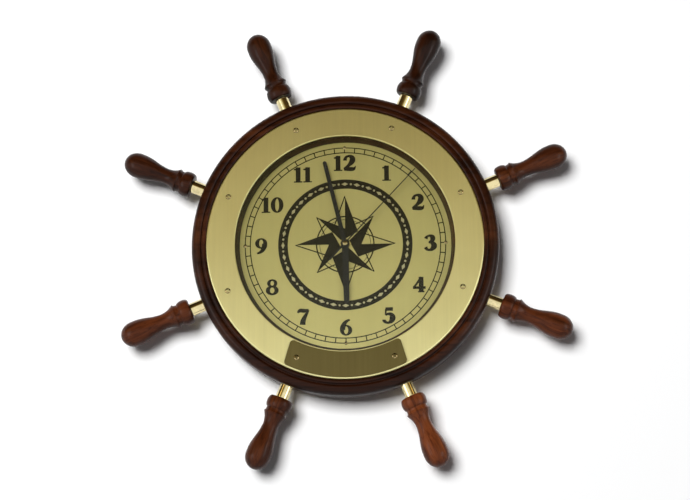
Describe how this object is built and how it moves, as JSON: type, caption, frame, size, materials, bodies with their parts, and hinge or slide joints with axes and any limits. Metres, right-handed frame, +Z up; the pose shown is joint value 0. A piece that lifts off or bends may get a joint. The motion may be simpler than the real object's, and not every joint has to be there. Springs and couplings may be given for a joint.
{
  "type": "ship wheel wall clock",
  "caption": "Round wall clock in the form of a ship's steering wheel: turned wooden handles on brass sleeves around a wooden rim, brass bezel, glazed dial with three hands, quartz movement.",
  "frame": {"origin": "centre of the overall box: on the hands' axis, halfway between the front of the name plate's screws and the wall face of the back ring", "axes": "+Z up through twelve o'clock, the dial faces -Y, +Y points to the wall along the hands' axis, +X to the right seen from the front"},
  "size_m": [0.4664, 0.0414, 0.4664],
  "materials": {
    "turned_wood": "dark red-brown varnish, glossy",
    "brushed_brass": "brushed from top to bottom, satin",
    "polished_brass": "polished",
    "aged_brass": "satin, darkened",
    "dial_brass": "satin, printed",
    "clear_glass": "clear, flat",
    "black_paint": "semi-gloss",
    "steel": "satin",
    "rubber": "matt",
    "black_plastic": "moulded, satin",
    "white_plastic": "moulded, smooth",
    "battery_jacket": "printed metal jacket, plain",
    "copper": "enamelled copper wire",
    "board_green": "circuit board",
    "ferrite": "sintered magnet"
  },
  "bodies": {
    "clock_body": {"wheel_rim": "turned_wood", "back_ring": "turned_wood", "hanger_plate": "steel", "bezel_ring": "brushed_brass", "name_plate": "aged_brass", "glass": "clear_glass", "dial_plate": "dial_brass", "threaded_bush": "polished_brass", "hex_nut": "polished_brass", "rubber_washer": "rubber", "movement_case": "black_plastic", "movement_back_cover": "black_plastic", "train_plate": "white_plastic", "stator": "steel", "coil_core": "steel", "coil_bobbin": "white_plastic", "coil_winding": "copper", "circuit_board": "board_green", "battery": "battery_jacket", "positive_contact": "steel", "negative_contact": "steel", "bezel_screw_1": "polished_brass", "bezel_screw_2": "polished_brass", "bezel_screw_3": "polished_brass", "bezel_screw_4": "polished_brass", "bezel_screw_5": "polished_brass", "bezel_screw_6": "polished_brass", "name_plate_screw_1": "polished_brass", "name_plate_screw_2": "polished_brass", "handle_1": "turned_wood", "spoke_sleeve_1": "polished_brass", "handle_2": "turned_wood", "spoke_sleeve_2": "polished_brass", "handle_3": "turned_wood", "spoke_sleeve_3": "polished_brass", "handle_4": "turned_wood", "spoke_sleeve_4": "polished_brass", "handle_5": "turned_wood", "spoke_sleeve_5": "polished_brass", "handle_6": "turned_wood", "spoke_sleeve_6": "polished_brass", "handle_7": "turned_wood", "spoke_sleeve_7": "polished_brass", "handle_8": "turned_wood", "spoke_sleeve_8": "polished_brass"},
    "minute_hand_arbor": {"minute_hand": "black_paint", "minute_hand_nut": "polished_brass", "minute_pipe": "white_plastic"},
    "hour_hand_arbor": {"hour_hand": "black_paint", "hour_wheel": "white_plastic"},
    "setting_arbor": {"minute_wheel": "white_plastic", "setting_knob": "black_plastic"},
    "second_hand_arbor": {"second_hand": "black_paint", "second_hand_cap": "polished_brass", "second_wheel": "white_plastic"},
    "third_arbor": {"third_wheel": "white_plastic"},
    "centre_arbor": {"centre_wheel": "white_plastic"},
    "intermediate_arbor": {"intermediate_wheel": "white_plastic"},
    "rotor_arbor": {"rotor_magnet": "ferrite", "rotor_pinion": "white_plastic"}
  },
  "joints": [
    {"name": "minute_hand_turn", "type": "hinge", "parent": "clock_body", "child": "minute_hand_arbor", "pos_m": [0, 0, 0], "axis": [0, 1, 0], "continuous": true},
    {"name": "hour_hand_turn", "type": "hinge", "parent": "clock_body", "child": "hour_hand_arbor", "pos_m": [0, 0, 0], "axis": [0, 1, 0], "continuous": true},
    {"name": "setting_turn", "type": "hinge", "parent": "clock_body", "child": "setting_arbor", "pos_m": [0, 0, 0.0096], "axis": [0, 1, 0], "continuous": true},
    {"name": "second_hand_turn", "type": "hinge", "parent": "clock_body", "child": "second_hand_arbor", "pos_m": [0, 0, 0], "axis": [0, 1, 0], "continuous": true},
    {"name": "third_wheel_turn", "type": "hinge", "parent": "clock_body", "child": "third_arbor", "pos_m": [-0.0085, 0, 0], "axis": [0, 1, 0], "continuous": true},
    {"name": "centre_wheel_turn", "type": "hinge", "parent": "clock_body", "child": "centre_arbor", "pos_m": [0, 0, 0], "axis": [0, 1, 0], "continuous": true},
    {"name": "intermediate_wheel_turn", "type": "hinge", "parent": "clock_body", "child": "intermediate_arbor", "pos_m": [0.00866, 0, 0], "axis": [0, 1, 0], "continuous": true},
    {"name": "rotor_turn", "type": "hinge", "parent": "clock_body", "child": "rotor_arbor", "pos_m": [0.01226, 0, 0.00624], "axis": [0, 1, 0], "continuous": true}
  ],
  "couplings": [
    {"joint": "hour_hand_turn", "follows": "minute_hand_turn", "ratio": 0.083333},
    {"joint": "setting_turn", "follows": "minute_hand_turn", "ratio": -0.33333},
    {"joint": "third_wheel_turn", "follows": "second_hand_turn", "ratio": -0.13333},
    {"joint": "centre_wheel_turn", "follows": "second_hand_turn", "ratio": 0.016667},
    {"joint": "intermediate_wheel_turn", "follows": "second_hand_turn", "ratio": -6},
    {"joint": "rotor_turn", "follows": "second_hand_turn", "ratio": 30}
  ]
}
